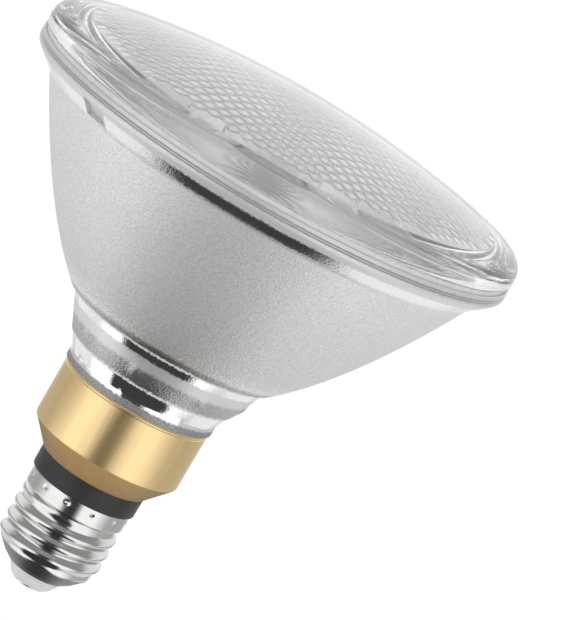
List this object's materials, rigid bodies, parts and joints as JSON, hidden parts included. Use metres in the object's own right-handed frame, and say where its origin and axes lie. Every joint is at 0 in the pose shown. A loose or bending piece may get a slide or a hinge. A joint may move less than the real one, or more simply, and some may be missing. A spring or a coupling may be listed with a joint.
{
  "type": "reflector lamp",
  "caption": "Glass reflector spotlight bulb with a domed dotted lens, mirrored bowl, brass skirt, black base ring and screw cap",
  "frame": {"origin": "end face of the centre contact, on the lamp axis", "axes": "+Z runs along the lamp axis from the screw cap to the lens; X and Y are square to it"},
  "size_m": [0.1238, 0.1238, 0.1331],
  "materials": {
    "clear_glass": "gloss",
    "mirrored_glass": "satin",
    "seal": "satin",
    "cement": "matte",
    "brass": "brushed",
    "black_plastic": "matte",
    "nickel": "gloss",
    "white_insulator": "satin",
    "contact": "satin",
    "aluminium": "satin",
    "ceramic": "satin",
    "phosphor": "matte",
    "white_plastic": "satin",
    "screw_steel": "satin",
    "board": "satin",
    "ferrite": "matte",
    "tape": "satin",
    "sleeve": "gloss",
    "film_box": "gloss",
    "chip": "matte",
    "resistor": "satin",
    "red_wire": "satin",
    "black_wire": "satin"
  },
  "bodies": {
    "root": {"lens": "clear_glass", "rim_seal": "seal", "reflector": "mirrored_glass", "neck_cement": "cement", "skirt": "brass", "base": "black_plastic", "driver_cup": "black_plastic", "screw_shell": "nickel", "cap_insulator": "white_insulator", "centre_contact": "contact", "heat_sink": "aluminium", "cob_board": "ceramic", "cob_emitter": "phosphor", "cob_holder": "white_plastic", "holder_screws": "screw_steel", "driver_board": "board", "transformer_core": "ferrite", "transformer_winding": "tape", "smoothing_capacitor": "sleeve", "film_capacitor": "film_box", "choke": "ferrite", "rectifier": "chip", "control_chip": "chip", "fuse_resistor": "resistor", "contact_lead": "black_wire", "shell_lead": "black_wire", "led_lead_red": "red_wire", "led_lead_black": "black_wire"}
  },
  "joints": []
}
